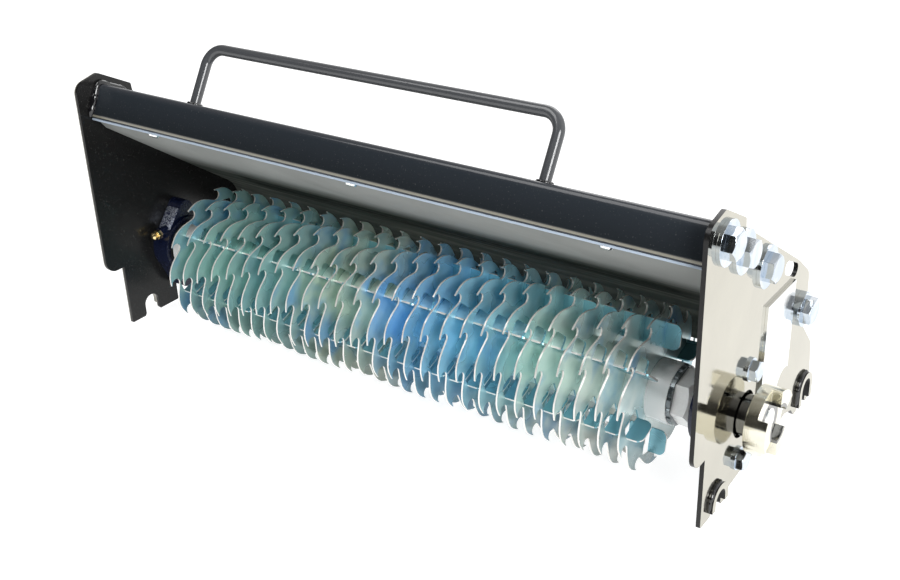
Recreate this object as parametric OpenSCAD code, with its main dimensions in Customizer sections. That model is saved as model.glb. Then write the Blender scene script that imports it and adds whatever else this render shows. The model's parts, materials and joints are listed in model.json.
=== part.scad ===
// Lawn scarifier cartridge: a rotor of toothed discs between two hooked side plates.
// The plates are joined by a square beam, which carries a lifting handle and a deflector shield.
// X runs along the rotor, Y to the rear and Z up. Lengths are in millimetres and angles in degrees.
// The modules are drawn about the rotor's axis, and place() moves them so that the origin
// lies under the middle of the whole object, on the ground.

/* [Frame] */
// Width over the two side plates
frame_w = 515; // [500:5:560]
// Thickness of a side plate
plate_t = 3; // [2:0.5:4]
// Height of the rotor's axis above the ground
axis_h = 56.5; // [56.5:0.5:62]
// Front edge of the side plates, ahead of the rotor's axis
plate_front = 74; // [70:1:80]
// Rear end of the side plates, behind the rotor's axis
plate_rear = 126; // [122:1:132]
// Top corner of the side plates, above the rotor's axis
plate_top = 160.2; // [158:0.2:166]
// Radius of the plate's hole around the shaft
shaft_window_r = 16; // [15.5:0.25:18]

/* [Hooks] */
// Radius of the four hook slots
slot_r = 7.25; // [6:0.25:8]
// Front slots, ahead of the rotor's axis
front_slot_y = 34.25; // [32:0.25:37]
// Height of the front slots' arc above the ground
front_slot_h = 12.25; // [11:0.25:15]
// Rear slots, behind the rotor's axis
rear_slot_y = 111; // [108:0.5:113]
// Height of the rear slots' arc above the ground
rear_slot_h = 19; // [15:0.5:21]
// Width of a collar's wall around a slot
collar_w = 4.5; // [3:0.5:5]
// How far a collar stands proud of its plate
collar_proud = 3; // [2.5:0.5:6]

/* [Beam and handle] */
// Side of the square beam
beam_a = 27; // [26:1:28]
// Wall of the square beam
beam_wall = 2.5; // [2:0.5:4]
// Outer corner radius of the beam
beam_corner_r = 4; // [2:0.5:4.5]
// Tilt of the beam, front edge up
beam_tilt = 28; // [26:1:30]
// Diameter of the handle's rod
handle_d = 8; // [6:0.5:9]
// Height of the handle along its legs, to the middle of its bar
handle_h = 43; // [30:1:60]
// Lean of the handle to the rear
handle_lean = 31.6; // [26:0.2:36]
// Bend radius of the handle's corners
handle_bend_r = 13; // [8:1:20]
// Left leg of the handle, from the middle of the frame
handle_left = 160; // [120:1:200]
// Right leg of the handle, from the middle of the frame
handle_right = 137; // [100:1:200]

/* [Deflector shield] */
// Thickness of the shield's sheet
shield_t = 1.5; // [1:0.25:2]
// Distance of the shield's inner face from the rotor's axis
shield_r = 65; // [63:0.5:66]
// Slope of the shield's straight part
shield_slope = 35.3; // [34:0.1:36]
// Radius of the shield's lower curve
shield_curve_r = 24; // [20:1:27]
// Diameter of a rivet's head
rivet_head_d = 9; // [7:0.5:10]

/* [Rotor] */
// Number of toothed discs
blade_count = 27; // [3:1:27]
// Room between the left plate's outer face and the first disc
left_room = 55.92; // [52:0.02:60]
// Room between the last disc and the right plate's outer face
right_room = 59.52; // [56:0.02:64]
// Thickness of a disc
blade_t = 1.25; // [1:0.25:2]
// Radius over the teeth
blade_r = 56.5; // [54:0.25:57]
// Radius at the bottom of the teeth
tooth_root_r = 47.6; // [47.2:0.2:49]
// Number of teeth on a disc
tooth_count = 11; // [9:1:12]
// Radius of the hollow under each tooth's point
gullet_r = 4.1; // [3:0.1:4.3]
// Width across the flats of the hexagonal shaft
hex_af = 30; // [27:1:32]
// Diameter of the spacers between the discs
spacer_d = 44; // [40:1:48]

/* [Lifted tabs] */
// Number of tabs cut out of a disc and bent square to it
tab_count = 6; // [6:6:6]
// Inner end of a tab, from the axis
tab_r0 = 28.5; // [26:0.5:30]
// Outer end of a tab, from the axis
tab_r1 = 46.3; // [42:0.1:46.5]
// How far a tab reaches out of its disc
tab_reach = 11; // [8:0.5:12]
// Radius of a tab's free corners
tab_corner_r = 5; // [2:0.5:6]

/* [Bearings] */
// Diameter of the shaft in its bearings
journal_d = 20; // [19:0.5:20]
// Outer diameter of a bearing
bearing_d = 42; // [41:0.5:43]
// Width of a bearing
bearing_w = 12; // [11:0.5:13]
// Diameter of a bearing's balls
ball_d = 6.35; // [5.5:0.05:6.8]
// Number of balls in a bearing
ball_count = 10; // [7:1:12]
// Diameter of the left housing's barrel
left_housing_d = 48; // [47:0.5:56]
// Diameter of the right housing's barrel
right_housing_d = 50; // [47:1:64]
// Length of the left housing
left_housing_l = 16; // [15.5:0.5:20]
// Length of the right housing
right_housing_l = 23.5; // [22:0.5:25]
// Distance of a housing's bolts from the axis
housing_bolt_r = 31; // [30.5:0.5:33]

/* [Drive coupling] */
// Radius of the coupling's neck
neck_r = 13.7; // [12.5:0.1:15]
// Radius of the coupling's jaws
coupling_r = 23; // [20:0.5:25]
// Reach of the coupling beyond the plate
coupling_reach = 23.5; // [21:0.5:27]
// Width of the body behind the jaws
coupling_body = 7.8; // [6:0.2:9]
// Height of the jaws
jaw_h = 6.5; // [4:0.5:8]
// Diameter of the shaft's end inside the coupling
tail_d = 18; // [16:0.5:19]
// Angle covered by one jaw
jaw_angle = 58; // [40:1:70]

/* [Fasteners] */
// Diameter of the plate bolts
bolt_d = 10; // [8:1:10]
// Width across the flats of a plate bolt's head
bolt_af = 17; // [15:1:17]
// Height of a plate bolt's head
bolt_head = 6.4; // [5:0.2:7]
// Diameter of a plate bolt's washer
washer_d = 28; // [22:1:28]
// Thickness of a plate bolt's washer
washer_t = 2.5; // [1.5:0.5:3]
// Diameter of the two washers under each rear bolt
rear_washer_d = 24; // [20:1:26]
// Diameter of the housing bolts
small_bolt_d = 8; // [6:1:8]
// Width across the flats of a housing bolt's head
small_bolt_af = 13; // [11:1:13]
// Height of a housing bolt's head
small_bolt_head = 5.3; // [4:0.1:6]

/* [Hidden] */
$fn = 64;
// Clearances: between fitted pieces, in a running fit, and between a ball and its races
fit = 0.05;
running = 0.05;
race_gap = 0.06;

plate_out = frame_w/2;
plate_in = plate_out - plate_t;
ground = -axis_h;
// The plates' feet end a little above the lowest tips of the discs
feet = ground + 3;
collar_cut = feet + 5;
bolt_reach = 2*washer_t + bolt_head;
mid_x = (bolt_reach - coupling_reach)/2;
mid_y = (plate_rear - plate_front)/2;

// Shield: directions along its straight run and square to it, and where the run starts and ends
shield_dir = [cos(shield_slope), -sin(shield_slope)];
shield_normal = [sin(shield_slope), cos(shield_slope)];
shield_start = -110;
shield_bend = 38.4;
shield_turn = 63;
shield_tail = 10;

// Beam: its middle, its lower front corner and its two directions in the Y-Z plane
beam_u = [cos(beam_tilt), -sin(beam_tilt)];
beam_v = [sin(beam_tilt), cos(beam_tilt)];
beam_low_front = on_shield(-128.36, shield_r + 2.28);
beam_mid = beam_low_front + beam_a/2*(beam_u + beam_v);
beam_bore = beam_a - 2*beam_wall;
beam_bore_r = 1.5;
plug_l = 20;
plug_fit = 0.1;
handle_foot = beam_mid + (10 - beam_a/2)*beam_u + beam_a/2*beam_v;

// Plate bolts, front to rear: the first enters the beam, the others clamp the shield
beam_bolt = beam_mid + [-1.9, 4.8];
bolt_runs = [-91.57, -44.39, 47.41];
bolt_heights = [22.1, 23.65, 15.13];
shield_bolts = [for (i = [0:2]) on_shield(bolt_runs[i], shield_r + bolt_heights[i])];
rear_bolt = shield_bolts[2];
plate_bolts = concat([beam_bolt], shield_bolts);
// Washers under each plate bolt and their diameters
washer_counts = [1, 1, 1, 2];
washer_ds = [washer_d, washer_d, washer_d, rear_washer_d];
head_turns = [8, 34, 20, 48];
nut_h = 8;
bolt_tip = 2;
hole_ease = 0.25;

// Shield's flange under the beam, with its rivets, and the flanges at its ends
rivet_s = 6.5;
rivet_room = 0.3;
flange_start = 3;
flange_end = rivet_s + rivet_head_d/2 + rivet_room;
end_flange_h = 12;
lug_r = 12;
rivet_xs = [-190, -2, 189];
rivet_d = 4;
rivet_dome = 1.8;
rivet_bulb_r = 2.5;
rivet_bulb_h = 3;

// Rotor stack: the first disc's left face, the last disc's right face and the step between discs
stack_left = left_room - plate_out;
stack_right = plate_out - right_room;
blade_pitch = (stack_right - stack_left - blade_t)/(blade_count - 1);
hex_r = hex_af/2/cos(30);
hex_ease = 0.05;
spacer_bore = hex_r + 0.18;
tooth_step = 360/tooth_count;
first_tip = 120.5;
index_angle = 60;
gullet_mid = tooth_root_r + gullet_r + 0.1;
tab_first = 20;
window_w = 11.5;
window_r = 3;

// Shaft and end pieces, from the housings inwards
shaft_gap = 3;
nut_gap = 4;
clamp_nut_h = 11;
clamp_nut_af = 34;
lock_t = 3;
lock_r = 20.5;
lock_teeth = 18;
thread_r = 13;
land_r = 15;
ring_ease = 0.3;
left_collar_x = -(plate_in - left_housing_l - shaft_gap);
nut_right = plate_in - right_housing_l - nut_gap;
lock_left = nut_right - clamp_nut_h - lock_t;
ring_out = plate_in - ring_ease;
ring_in = ring_out - bearing_w;
ball_circle_r = (journal_d + bearing_d)/4;
race_open = 2;
seal_lip = 1;
seal_r = 20;
shoulder_r = 18.5;
housing_bolt_angle = 81.7;
housing_lobe_r = 7;
web_bite = 0.5;
small_washer_d = 16;
small_washer_t = 1.6;
small_bolt_grip = 14;
small_bolt_depth = 11;
nipple_z = 16;
nipple_pad_r = 4.5;
nipple_pad = 0.3;
pad_l = 12;
left_nipple = 7.5;
right_nipple = 11;
nipple_stub_r = 2.5;
nipple_stub = 3;
end_flange_r = 14.5;
end_flange_t = 2.5;
end_screw_l = 22;

// Coupling: its jaws, its key and its screw
jaw_first = 58;
jaw_count = 3;
jaw_in_r = 12;
key_w = 6;
key_l = 16;
key_angle = 115;
key_in_r = 5.5;
key_out_r = 11.5;
keyway_r = 11.8;
key_start = plate_out;
grub_r = 2.5;
coupling_face = plate_out + coupling_reach - jaw_h;
coupling_back = coupling_face - coupling_body;

function blade_name(i) = str("blade_", i < 9 ? "0" : "", i + 1);

// Moves what is drawn about the rotor's axis to the object's own origin
module place() {
    translate([mid_x, -mid_y, axis_h]) children();
}

// Extrudes a Y-Z outline along X, from x on
module along_x(x, length) {
    translate([x, 0, 0]) rotate([90, 0, 90]) linear_extrude(length) children();
}

// Turns a radius-height outline about the X axis, with its height along X from x on
module turned_x(x) {
    translate([x, 0, 0]) rotate([90, 0, 90]) rotate_extrude() children();
}

// A tube about the X axis
module tube_x(x, length, outer, inner) {
    along_x(x, length) difference() {
        circle(outer);
        circle(inner);
    }
}

// Draws its children on the right, or mirrored to the left
module on_side(side) {
    mirror([side < 0 ? 1 : 0, 0, 0]) children();
}

function unit(v) = v/norm(v);

// The arc that rounds corner q between its neighbours p and s with radius r
function corner(p, q, s, r) =
    let (
        u = unit(p - q),
        v = unit(s - q),
        half = acos(u*v)/2,
        mid = q + unit(u + v)*r/sin(half),
        start = q + u*r/tan(half) - mid,
        end = q + v*r/tan(half) - mid,
        from = atan2(start.y, start.x),
        turn = (atan2(end.y, end.x) - from + 540) % 360 - 180,
        steps = max(2, ceil(abs(turn)*sqrt(r)/45))
    )
    r == 0 ? [q] : [for (i = [0:steps]) mid + r*[cos(from + turn*i/steps), sin(from + turn*i/steps)]];

function xy(p) = [p.x, p.y];

// An outline from corners given as [y, z, radius]
function rounded(points) =
    let (n = len(points))
    [for (i = [0:n - 1]) each corner(
        xy(points[(i + n - 1) % n]), xy(points[i]), xy(points[(i + 1) % n]), points[i].z)];

function square_points(a, r) = rounded([[-a/2, -a/2, r], [a/2, -a/2, r], [a/2, a/2, r], [-a/2, a/2, r]]);

// The plates' lower edge between the hooks; the left plate's front foot is longer
right_low_edge = [[79, -42.5, 4], [68, -44, 4], [7, -45, 6], [-16.5, -47, 4], [-19, feet, 3]];
left_low_edge = [[79, -42.5, 4], [71, -38.5, 4], [-5.3, -38.5, 1], [-5.3, feet, 1]];

// A side plate's edge, from its lower front corner up and round to the rear and back
function plate_edge(low_edge) = rounded(concat([
    [-plate_front, -2, 10],
    [-plate_front, plate_top - 4.7, 9],
    [-plate_front + 22, plate_top, 4],
    [beam_mid.x + 26, beam_mid.y + 9.3, 2],
    [beam_mid.x + 26.6, beam_mid.y + 3, 2],
    [rear_bolt.x - 8.1, rear_bolt.y + 38.5, 10],
    [rear_bolt.x + 14, rear_bolt.y + 21.4, 10],
    [rear_bolt.x + 15.3, rear_bolt.y + 5.8, 5],
    [rear_bolt.x + 9, rear_bolt.y - 6, 6],
    [97.5, 18.3, 6],
    [118.7, -4.4, 4],
    [119.7, -11.5, 4],
    [plate_rear, feet + 7, 3],
    [plate_rear - 1, feet, 2],
    [rear_slot_y - slot_r - 6.5, feet, 3],
    [rear_slot_y - slot_r - 12, feet + 7, 4]
], low_edge, [
    [-front_slot_y - slot_r - 15.5, feet, 1],
    [-front_slot_y - slot_r - 15.5, -2, 0]
]));

slots = [[-front_slot_y, ground + front_slot_h], [rear_slot_y, ground + rear_slot_h]];

// A hook slot: a round top, straight sides and a flared mouth at the foot
module slot_outline(spot, r, mouth) {
    depth = spot.y - feet + 1;
    translate(spot) circle(r);
    translate([spot.x - r, feet - 1]) square([2*r, depth]);
    if (mouth > 0)
        polygon([
            [spot.x - r - mouth, feet - 1],
            [spot.x + r + mouth, feet - 1],
            [spot.x + r, feet + mouth],
            [spot.x - r, feet + mouth]
        ]);
}

module plate_outline(low_edge) {
    difference() {
        polygon(plate_edge(low_edge));
        for (spot = slots) slot_outline(spot, slot_r, 2);
        circle(shaft_window_r);
        for (spot = plate_bolts) translate(spot) circle(bolt_d/2 + hole_ease);
        for (s = [-1, 1]) rotate(housing_bolt_angle)
            translate([s*housing_bolt_r, 0]) circle(small_bolt_d/2 + hole_ease);
    }
}

// The slanted slot that only the right plate has
module right_plate_slot() {
    slant = 27;
    slant_l = 26;
    slant_w = 9.5;
    translate([63, 76]) rotate(-slant) {
        square([slant_l - slant_w, slant_w], center = true);
        for (s = [-1, 1]) translate([s*(slant_l - slant_w)/2, 0]) circle(slant_w/2);
    }
}

module left_side_plate() {
    color("#101114") place() along_x(-plate_out, plate_t) plate_outline(left_low_edge);
}

module right_side_plate() {
    color("#101114") place() along_x(plate_in, plate_t) difference() {
        plate_outline(right_low_edge);
        right_plate_slot();
    }
}

// One horseshoe welded round a slot, cut off level above the plate's feet
module collar_outline(spot) {
    difference() {
        slot_outline(spot, slot_r + collar_w, 0);
        slot_outline(spot, slot_r, 0);
        translate([spot.x - 2*slot_r - collar_w, ground - 2]) square([4*slot_r + 2*collar_w, collar_cut - ground + 2]);
    }
}

module hook_collars() {
    color("#17181a") place()
        for (side = [-1, 1], spot = slots)
            on_side(side) along_x(plate_out, collar_proud) collar_outline(spot);
}

// Bright strip on the right plate's outer face, behind the coupling
module side_strip() {
    strip_t = 2;
    strip_front = 23;
    strip_rear = 69;
    strip_low = -33;
    strip_high = 66.5;
    color("#e6e8ea") place() along_x(plate_out, strip_t) difference() {
        translate([strip_front, strip_low]) square([strip_rear - strip_front, strip_high - strip_low]);
        translate([63, -9]) circle(12);
    }
}

// Places children in the beam's own section, with its middle at the origin
module in_beam() {
    translate(beam_mid) rotate(-beam_tilt) children();
}

module rivet_hole(x, r) {
    spot = beam_low_front + rivet_s*beam_u - 10*beam_v;
    translate([x, spot.x, spot.y]) rotate([-beam_tilt, 0, 0]) cylinder(h = 10 + 2*beam_wall, r = r);
}

module cross_beam() {
    color("#0e1222") place() difference() {
        along_x(-plate_in, 2*plate_in) in_beam() difference() {
            polygon(square_points(beam_a, beam_corner_r));
            polygon(square_points(beam_bore, beam_bore_r));
        }
        for (x = rivet_xs) rivet_hole(x, rivet_d/2 + fit);
    }
}

// Tapped blocks inside the beam's ends
module beam_end_plugs() {
    color("#3a3d42") place()
        for (side = [-1, 1])
            on_side(side) along_x(plate_in - plug_l, plug_l) difference() {
                in_beam() polygon(square_points(beam_bore - 2*plug_fit, beam_bore_r));
                translate(beam_bolt) circle(bolt_d/2 + fit);
            }
}

// Bent rod, drawn in its own plane with its feet at the origin's height
module handle_rod() {
    rod_r = handle_d/2;
    foot = 6;
    bar = handle_left + handle_right - 2*handle_bend_r;
    for (x = [-handle_left, handle_right])
        translate([x, 0, -foot]) cylinder(h = foot + handle_h - handle_bend_r, r = rod_r);
    translate([handle_bend_r - handle_left, 0, handle_h]) rotate([0, 90, 0]) cylinder(h = bar, r = rod_r);
    translate([handle_bend_r - handle_left, 0, handle_h - handle_bend_r]) rotate([90, 0, 0])
        rotate([0, 0, 90]) rotate_extrude(angle = 90) translate([handle_bend_r, 0]) circle(rod_r, $fn = 32);
    translate([handle_right - handle_bend_r, 0, handle_h - handle_bend_r]) rotate([90, 0, 0])
        rotate_extrude(angle = 90) translate([handle_bend_r, 0]) circle(rod_r, $fn = 32);
}

module carry_handle() {
    color("#2b2e33") place() difference() {
        translate([0, handle_foot.x, handle_foot.y]) rotate([-handle_lean, 0, 0]) handle_rod();
        along_x(-frame_w/2, frame_w) in_beam() translate([-beam_a, -beam_a]) square([2*beam_a, 1.5*beam_a]);
    }
}

// A point on the shield, from its run along the slope and its distance from the axis
function on_shield(run, away) = run*shield_dir + away*shield_normal;

// The shield's face at a distance above its inner face, from the beam to its lower edge
function shield_face(lift) =
    let (
        away = shield_r + lift,
        drop = shield_t - lift,
        curve_mid = on_shield(shield_bend, shield_r - shield_curve_r),
        curve_r = shield_curve_r + lift,
        last = shield_slope + shield_turn,
        tip = curve_mid + curve_r*[sin(last), cos(last)]
    )
    concat(
        [beam_low_front + flange_start*beam_u - drop*beam_v, beam_low_front + flange_end*beam_u - drop*beam_v],
        [on_shield(shield_start, away)],
        [for (a = [0:4.5:shield_turn]) curve_mid + curve_r*[sin(shield_slope + a), cos(shield_slope + a)]],
        [tip + shield_tail*[cos(last), -sin(last)]]
    );

function reversed(list) = [for (i = [len(list) - 1:-1:0]) list[i]];

module shield_section() {
    polygon(concat(shield_face(0), reversed(shield_face(shield_t))));
}

// Lug with round corners around a bolt, drawn from below the sheet
module shield_lug() {
    polygon(rounded([
        [-lug_r, -40, 0],
        [lug_r, -40, 0],
        [lug_r, lug_r, lug_r - 1],
        [-lug_r, lug_r, lug_r - 1]
    ]));
}

// End flange: a low wall along the sheet with a lug around each bolt, clear of the beam
module shield_end() {
    below = concat(shield_face(shield_t/2), [
        on_shield(shield_bend, -lug_r),
        on_shield(shield_start - 60, -lug_r),
        on_shield(shield_start - 60, shield_r)
    ]);
    difference() {
        union() {
            rotate(-shield_slope) translate([bolt_runs[0], 0])
                square([shield_bend - bolt_runs[0], shield_r + shield_t + end_flange_h]);
            for (spot = shield_bolts) translate(spot) rotate(-shield_slope) shield_lug();
        }
        polygon(below);
        in_beam() square(beam_a + 1, center = true);
        for (spot = shield_bolts) translate(spot) circle(bolt_d/2 + hole_ease);
    }
}

module deflector_shield() {
    color("#16181c") place() difference() {
        union() {
            along_x(-plate_in, 2*plate_in) shield_section();
            for (side = [-1, 1]) on_side(side) along_x(plate_in - shield_t, shield_t) shield_end();
        }
        for (x = rivet_xs) rivet_hole(x, rivet_d/2 + fit);
    }
}

// Blind rivet: a domed head under the sheet and a bulb inside the beam
module rivet() {
    grip = shield_t + beam_wall;
    head_r = rivet_head_d/2;
    rotate_extrude() polygon([
        [0, -rivet_dome],
        [head_r*0.45, -rivet_dome],
        [head_r*0.8, -rivet_dome*0.7],
        [head_r, 0],
        [rivet_d/2, 0],
        [rivet_d/2, grip],
        [rivet_bulb_r, grip],
        [rivet_bulb_r, grip + rivet_bulb_h*0.6],
        [rivet_d/2, grip + rivet_bulb_h],
        [0, grip + rivet_bulb_h]
    ]);
}

module shield_rivets() {
    spot = beam_low_front + rivet_s*beam_u - shield_t*beam_v;
    color("#dfe3e6") place()
        for (x = rivet_xs) translate([x, spot.x, spot.y]) rotate([-beam_tilt, 0, 0]) rivet();
}

// Hexagon with a bevelled outer face, from x on, with its bevel towards +X
module hex_head(x, af, height, turn) {
    intersection() {
        along_x(x, height) rotate(turn) circle(af/2/cos(30), $fn = 6);
        translate([x, 0, 0]) rotate([0, 90, 0])
            cylinder(h = height, r1 = af*0.47 + height*1.7, r2 = af*0.47);
    }
}

// Bolt with its head's underside at x, its head towards +X and its shank towards -X
module hex_bolt(x, d, af, head, length, turn) {
    hex_head(x, af, head, turn);
    along_x(x - length, length) circle(d/2);
}

function plate_grip(i) = washer_counts[i]*washer_t + plate_t;

module plate_bolts() {
    color("#dfe4ea") place()
        for (side = [-1, 1], i = [0:len(plate_bolts) - 1])
            on_side(side) translate([0, plate_bolts[i].x, plate_bolts[i].y])
                hex_bolt(plate_out + washer_counts[i]*washer_t, bolt_d, bolt_af, bolt_head,
                    plate_grip(i) + (i == 0 ? plug_l - bolt_tip : shield_t + nut_h + bolt_tip), head_turns[i]);
}

module plate_washers() {
    color("#e6e9ec") place()
        for (side = [-1, 1], i = [0:len(plate_bolts) - 1], k = [0:washer_counts[i] - 1])
            on_side(side) translate([0, plate_bolts[i].x, plate_bolts[i].y])
                tube_x(plate_out + k*washer_t, washer_t, washer_ds[i]/2, bolt_d/2 + hole_ease);
}

// Nuts inside the shield's end flanges, with a flat towards the beam
module plate_nuts() {
    color("#dfe4ea") place()
        for (side = [-1, 1], spot = shield_bolts)
            on_side(side) translate([0, spot.x, spot.y]) along_x(plate_in - shield_t - nut_h, nut_h) difference() {
                rotate(30 - beam_tilt) circle(bolt_af/2/cos(30), $fn = 6);
                circle(bolt_d/2 + fit);
            }
}

// The web between the housing's barrel and one lobe: it leaves the lobe along its tangents
// and ends just inside the barrel
module housing_web(barrel, lobe, away) {
    a = acos((barrel - lobe)/away);
    polygon([
        [0, 0],
        (barrel - web_bite)*[cos(a), sin(a)],
        [away, 0] + lobe*[cos(a), sin(a)],
        [away, 0] + lobe*[cos(a), -sin(a)],
        (barrel - web_bite)*[cos(a), -sin(a)]
    ]);
}

// Where the web's straight side faces, as a turn about the axis
function web_turn(barrel) = housing_bolt_angle + acos((barrel - housing_lobe_r)/housing_bolt_r);

// How far to the front the nipple's pad stands, clear of the web's slope at its lower side
function pad_face(barrel) =
    nipple_pad - (barrel - (nipple_z - nipple_pad_r)*sin(web_turn(barrel)))/cos(web_turn(barrel));

// The seal fills what a housing leaves behind its bearing, 6 mm at most
function seal_w(length) = min(6, length - bearing_w - ring_ease - seal_lip);

// Flanged bearing housing on the right plate's inner face, with a pad for its grease nipple
module housing(barrel, length, nipple_c) {
    pocket = bearing_w + ring_ease;
    difference() {
        union() {
            along_x(plate_in - length, length) circle(barrel);
            along_x(plate_in - small_bolt_grip, small_bolt_grip) rotate(housing_bolt_angle)
                for (turn = [0, 180]) rotate(turn) {
                    translate([housing_bolt_r, 0]) circle(housing_lobe_r);
                    housing_web(barrel, housing_lobe_r, housing_bolt_r);
                }
            translate([plate_in - nipple_c, 0, nipple_z]) rotate([90, 0, 0])
                translate([0, 0, pad_face(barrel) - pad_l]) cylinder(h = pad_l, r = nipple_pad_r);
        }
        along_x(plate_in - pocket, pocket) circle(bearing_d/2 + fit/2);
        along_x(plate_in - length, length) circle(shoulder_r);
        along_x(plate_in - length, seal_w(length)) circle(seal_r + fit/2);
        for (s = [-1, 1]) along_x(plate_in - small_bolt_depth, small_bolt_depth)
            rotate(housing_bolt_angle) translate([s*housing_bolt_r, 0]) circle(small_bolt_d/2 + fit);
        translate([plate_in - nipple_c, 0, nipple_z]) rotate([90, 0, 0])
            translate([0, 0, pad_face(barrel) - pad_l]) cylinder(h = pad_l + 1, r = nipple_stub_r + fit);
    }
}

module left_bearing_housing() {
    color("#101b3c") place() on_side(-1) housing(left_housing_d/2, left_housing_l, left_nipple);
}

module right_bearing_housing() {
    color("#101b3c") place() on_side(1) housing(right_housing_d/2, right_housing_l, right_nipple);
}

module housing_bolts() {
    shank = small_washer_t + plate_t + small_bolt_depth - 1;
    color("#dfe4ea") place()
        for (side = [-1, 1], s = [-1, 1])
            on_side(side) rotate([housing_bolt_angle, 0, 0]) translate([0, s*housing_bolt_r, 0])
                hex_bolt(plate_out + small_washer_t, small_bolt_d, small_bolt_af, small_bolt_head, shank, 12);
}

module housing_washers() {
    color("#e6e9ec") place()
        for (side = [-1, 1], s = [-1, 1])
            on_side(side) rotate([housing_bolt_angle, 0, 0]) translate([0, s*housing_bolt_r, 0])
                tube_x(plate_out, small_washer_t, small_washer_d/2, small_bolt_d/2 + hole_ease);
}

// Grease nipple standing on its pad along +Z: stub, hexagon, neck and ball head
module nipple() {
    translate([0, 0, -nipple_stub]) cylinder(h = nipple_stub, r = nipple_stub_r);
    cylinder(h = 3, r = 3.5/cos(30), $fn = 6);
    translate([0, 0, 3]) cylinder(h = 2, r = 2);
    translate([0, 0, 5]) cylinder(h = 1.4, r1 = 2, r2 = 3.1);
    translate([0, 0, 6.4]) cylinder(h = 1.6, r1 = 3.1, r2 = 1.4);
}

module grease_nipples() {
    color("#c9a04a") place()
        for (side = [-1, 1])
            on_side(side) translate([plate_in - (side < 0 ? left_nipple : right_nipple), 0, 0])
                translate([0, 0, nipple_z]) rotate([90, 0, 0])
                    translate([0, 0, pad_face((side < 0 ? left_housing_d : right_housing_d)/2)]) nipple();
}

// The groove for the balls, with its running gap
module race(x) {
    turned_x(x) translate([ball_circle_r, 0]) circle(ball_d/2 + race_gap, $fn = 32);
}

module bearing_outer_rings() {
    color("#c8ccd0") place()
        for (side = [-1, 1]) on_side(side) difference() {
            tube_x(ring_in, bearing_w, bearing_d/2, ball_circle_r + race_open);
            race(ring_in + bearing_w/2);
        }
}

module bearing_inner_rings() {
    color("#c8ccd0") place()
        for (side = [-1, 1]) on_side(side) difference() {
            tube_x(ring_in, bearing_w, ball_circle_r - race_open, journal_d/2 + fit/2);
            race(ring_in + bearing_w/2);
        }
}

module bearing_balls() {
    color("#d8dcdf") place()
        for (side = [-1, 1], k = [0:ball_count - 1])
            on_side(side) rotate([k*360/ball_count, 0, 0])
                translate([ring_in + bearing_w/2, ball_circle_r, 0]) sphere(ball_d/2, $fn = 32);
}

module shaft_seals() {
    color("#1b1b1b") place() {
        on_side(-1) tube_x(plate_in - left_housing_l, seal_w(left_housing_l), seal_r, land_r + running);
        tube_x(plate_in - right_housing_l, seal_w(right_housing_l), seal_r, land_r + running);
    }
}

// Shaft: left journal and land, hexagon, thread, right journal and tail, with a keyway and a tapped end
module rotor_shaft() {
    hex_right = lock_left - 2;
    key_slot = coupling_face - key_start;
    color("#b9bec4") place() difference() {
        union() {
            along_x(-ring_out, ring_out - ring_in) circle(journal_d/2);
            along_x(-ring_in, ring_in + left_collar_x) circle(land_r);
            along_x(left_collar_x, hex_right - left_collar_x) circle(hex_r, $fn = 6);
            along_x(hex_right, nut_right - hex_right) circle(thread_r);
            along_x(nut_right, ring_out - nut_right) circle(journal_d/2);
            along_x(ring_out, coupling_face - ring_out) circle(tail_d/2);
        }
        along_x(-ring_out, end_screw_l) circle(small_bolt_d/2 + fit);
        along_x(key_start, key_slot) rotate(key_angle)
            translate([key_in_r, -key_w/2 - fit]) square([tail_d, key_w + 2*fit]);
    }
}

// Screw with a flange that holds the left bearing's inner ring on the shaft
module shaft_end_screw() {
    color("#dfe4ea") place() on_side(-1) {
        tube_x(ring_out, end_flange_t, end_flange_r, small_bolt_d/4);
        hex_bolt(ring_out + end_flange_t, small_bolt_d, small_bolt_af, small_bolt_head,
            end_flange_t + end_screw_l - 2, 20);
    }
}

module left_end_collar() {
    color("#e4e8eb") place() tube_x(left_collar_x, stack_left - left_collar_x, spacer_d/2 - 2, spacer_bore);
}

module right_end_collar() {
    color("#e4e8eb") place() tube_x(stack_right, lock_left - stack_right, spacer_d/2 - 1, spacer_bore);
}

// Serrated washer between the right collar and its nut
module lock_washer() {
    color("#9aa0a6") place() along_x(lock_left, lock_t) difference() {
        circle(lock_r);
        circle(thread_r + fit);
        for (k = [0:lock_teeth - 1]) rotate(k*360/lock_teeth)
            translate([lock_r, 0]) circle(1.1, $fn = 4);
    }
}

module clamp_nut() {
    color("#c9cdd2") place() difference() {
        hex_head(nut_right - clamp_nut_h, clamp_nut_af, clamp_nut_h, 10);
        along_x(nut_right - clamp_nut_h - 1, clamp_nut_h + 2) circle(thread_r + fit);
    }
}

module journal_spacer() {
    color("#c9cdd2") place() tube_x(nut_right, ring_in - nut_right, land_r, journal_d/2 + fit/2);
}

module blade_spacers() {
    color("#cfd6da") place()
        for (i = [0:blade_count - 2])
            tube_x(stack_left + i*blade_pitch + blade_t, blade_pitch - blade_t, spacer_d/2, spacer_bore);
}

// Height of a tooth's back at a share of the way from the root to its point
function tooth_back(share) =
    tooth_root_r + (blade_r - tooth_root_r)*pow(sin(90*min(1, share/0.8)), 1.4);

// Saw-tooth edge: each back rises towards its point, then drops straight to the root
tooth_edge = [
    for (k = [0:tooth_count - 1], share = [0:0.125:1])
        let (a = first_tip + (k - 1 + share)*tooth_step)
        tooth_back(share)*[cos(a), sin(a)]
];

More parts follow.
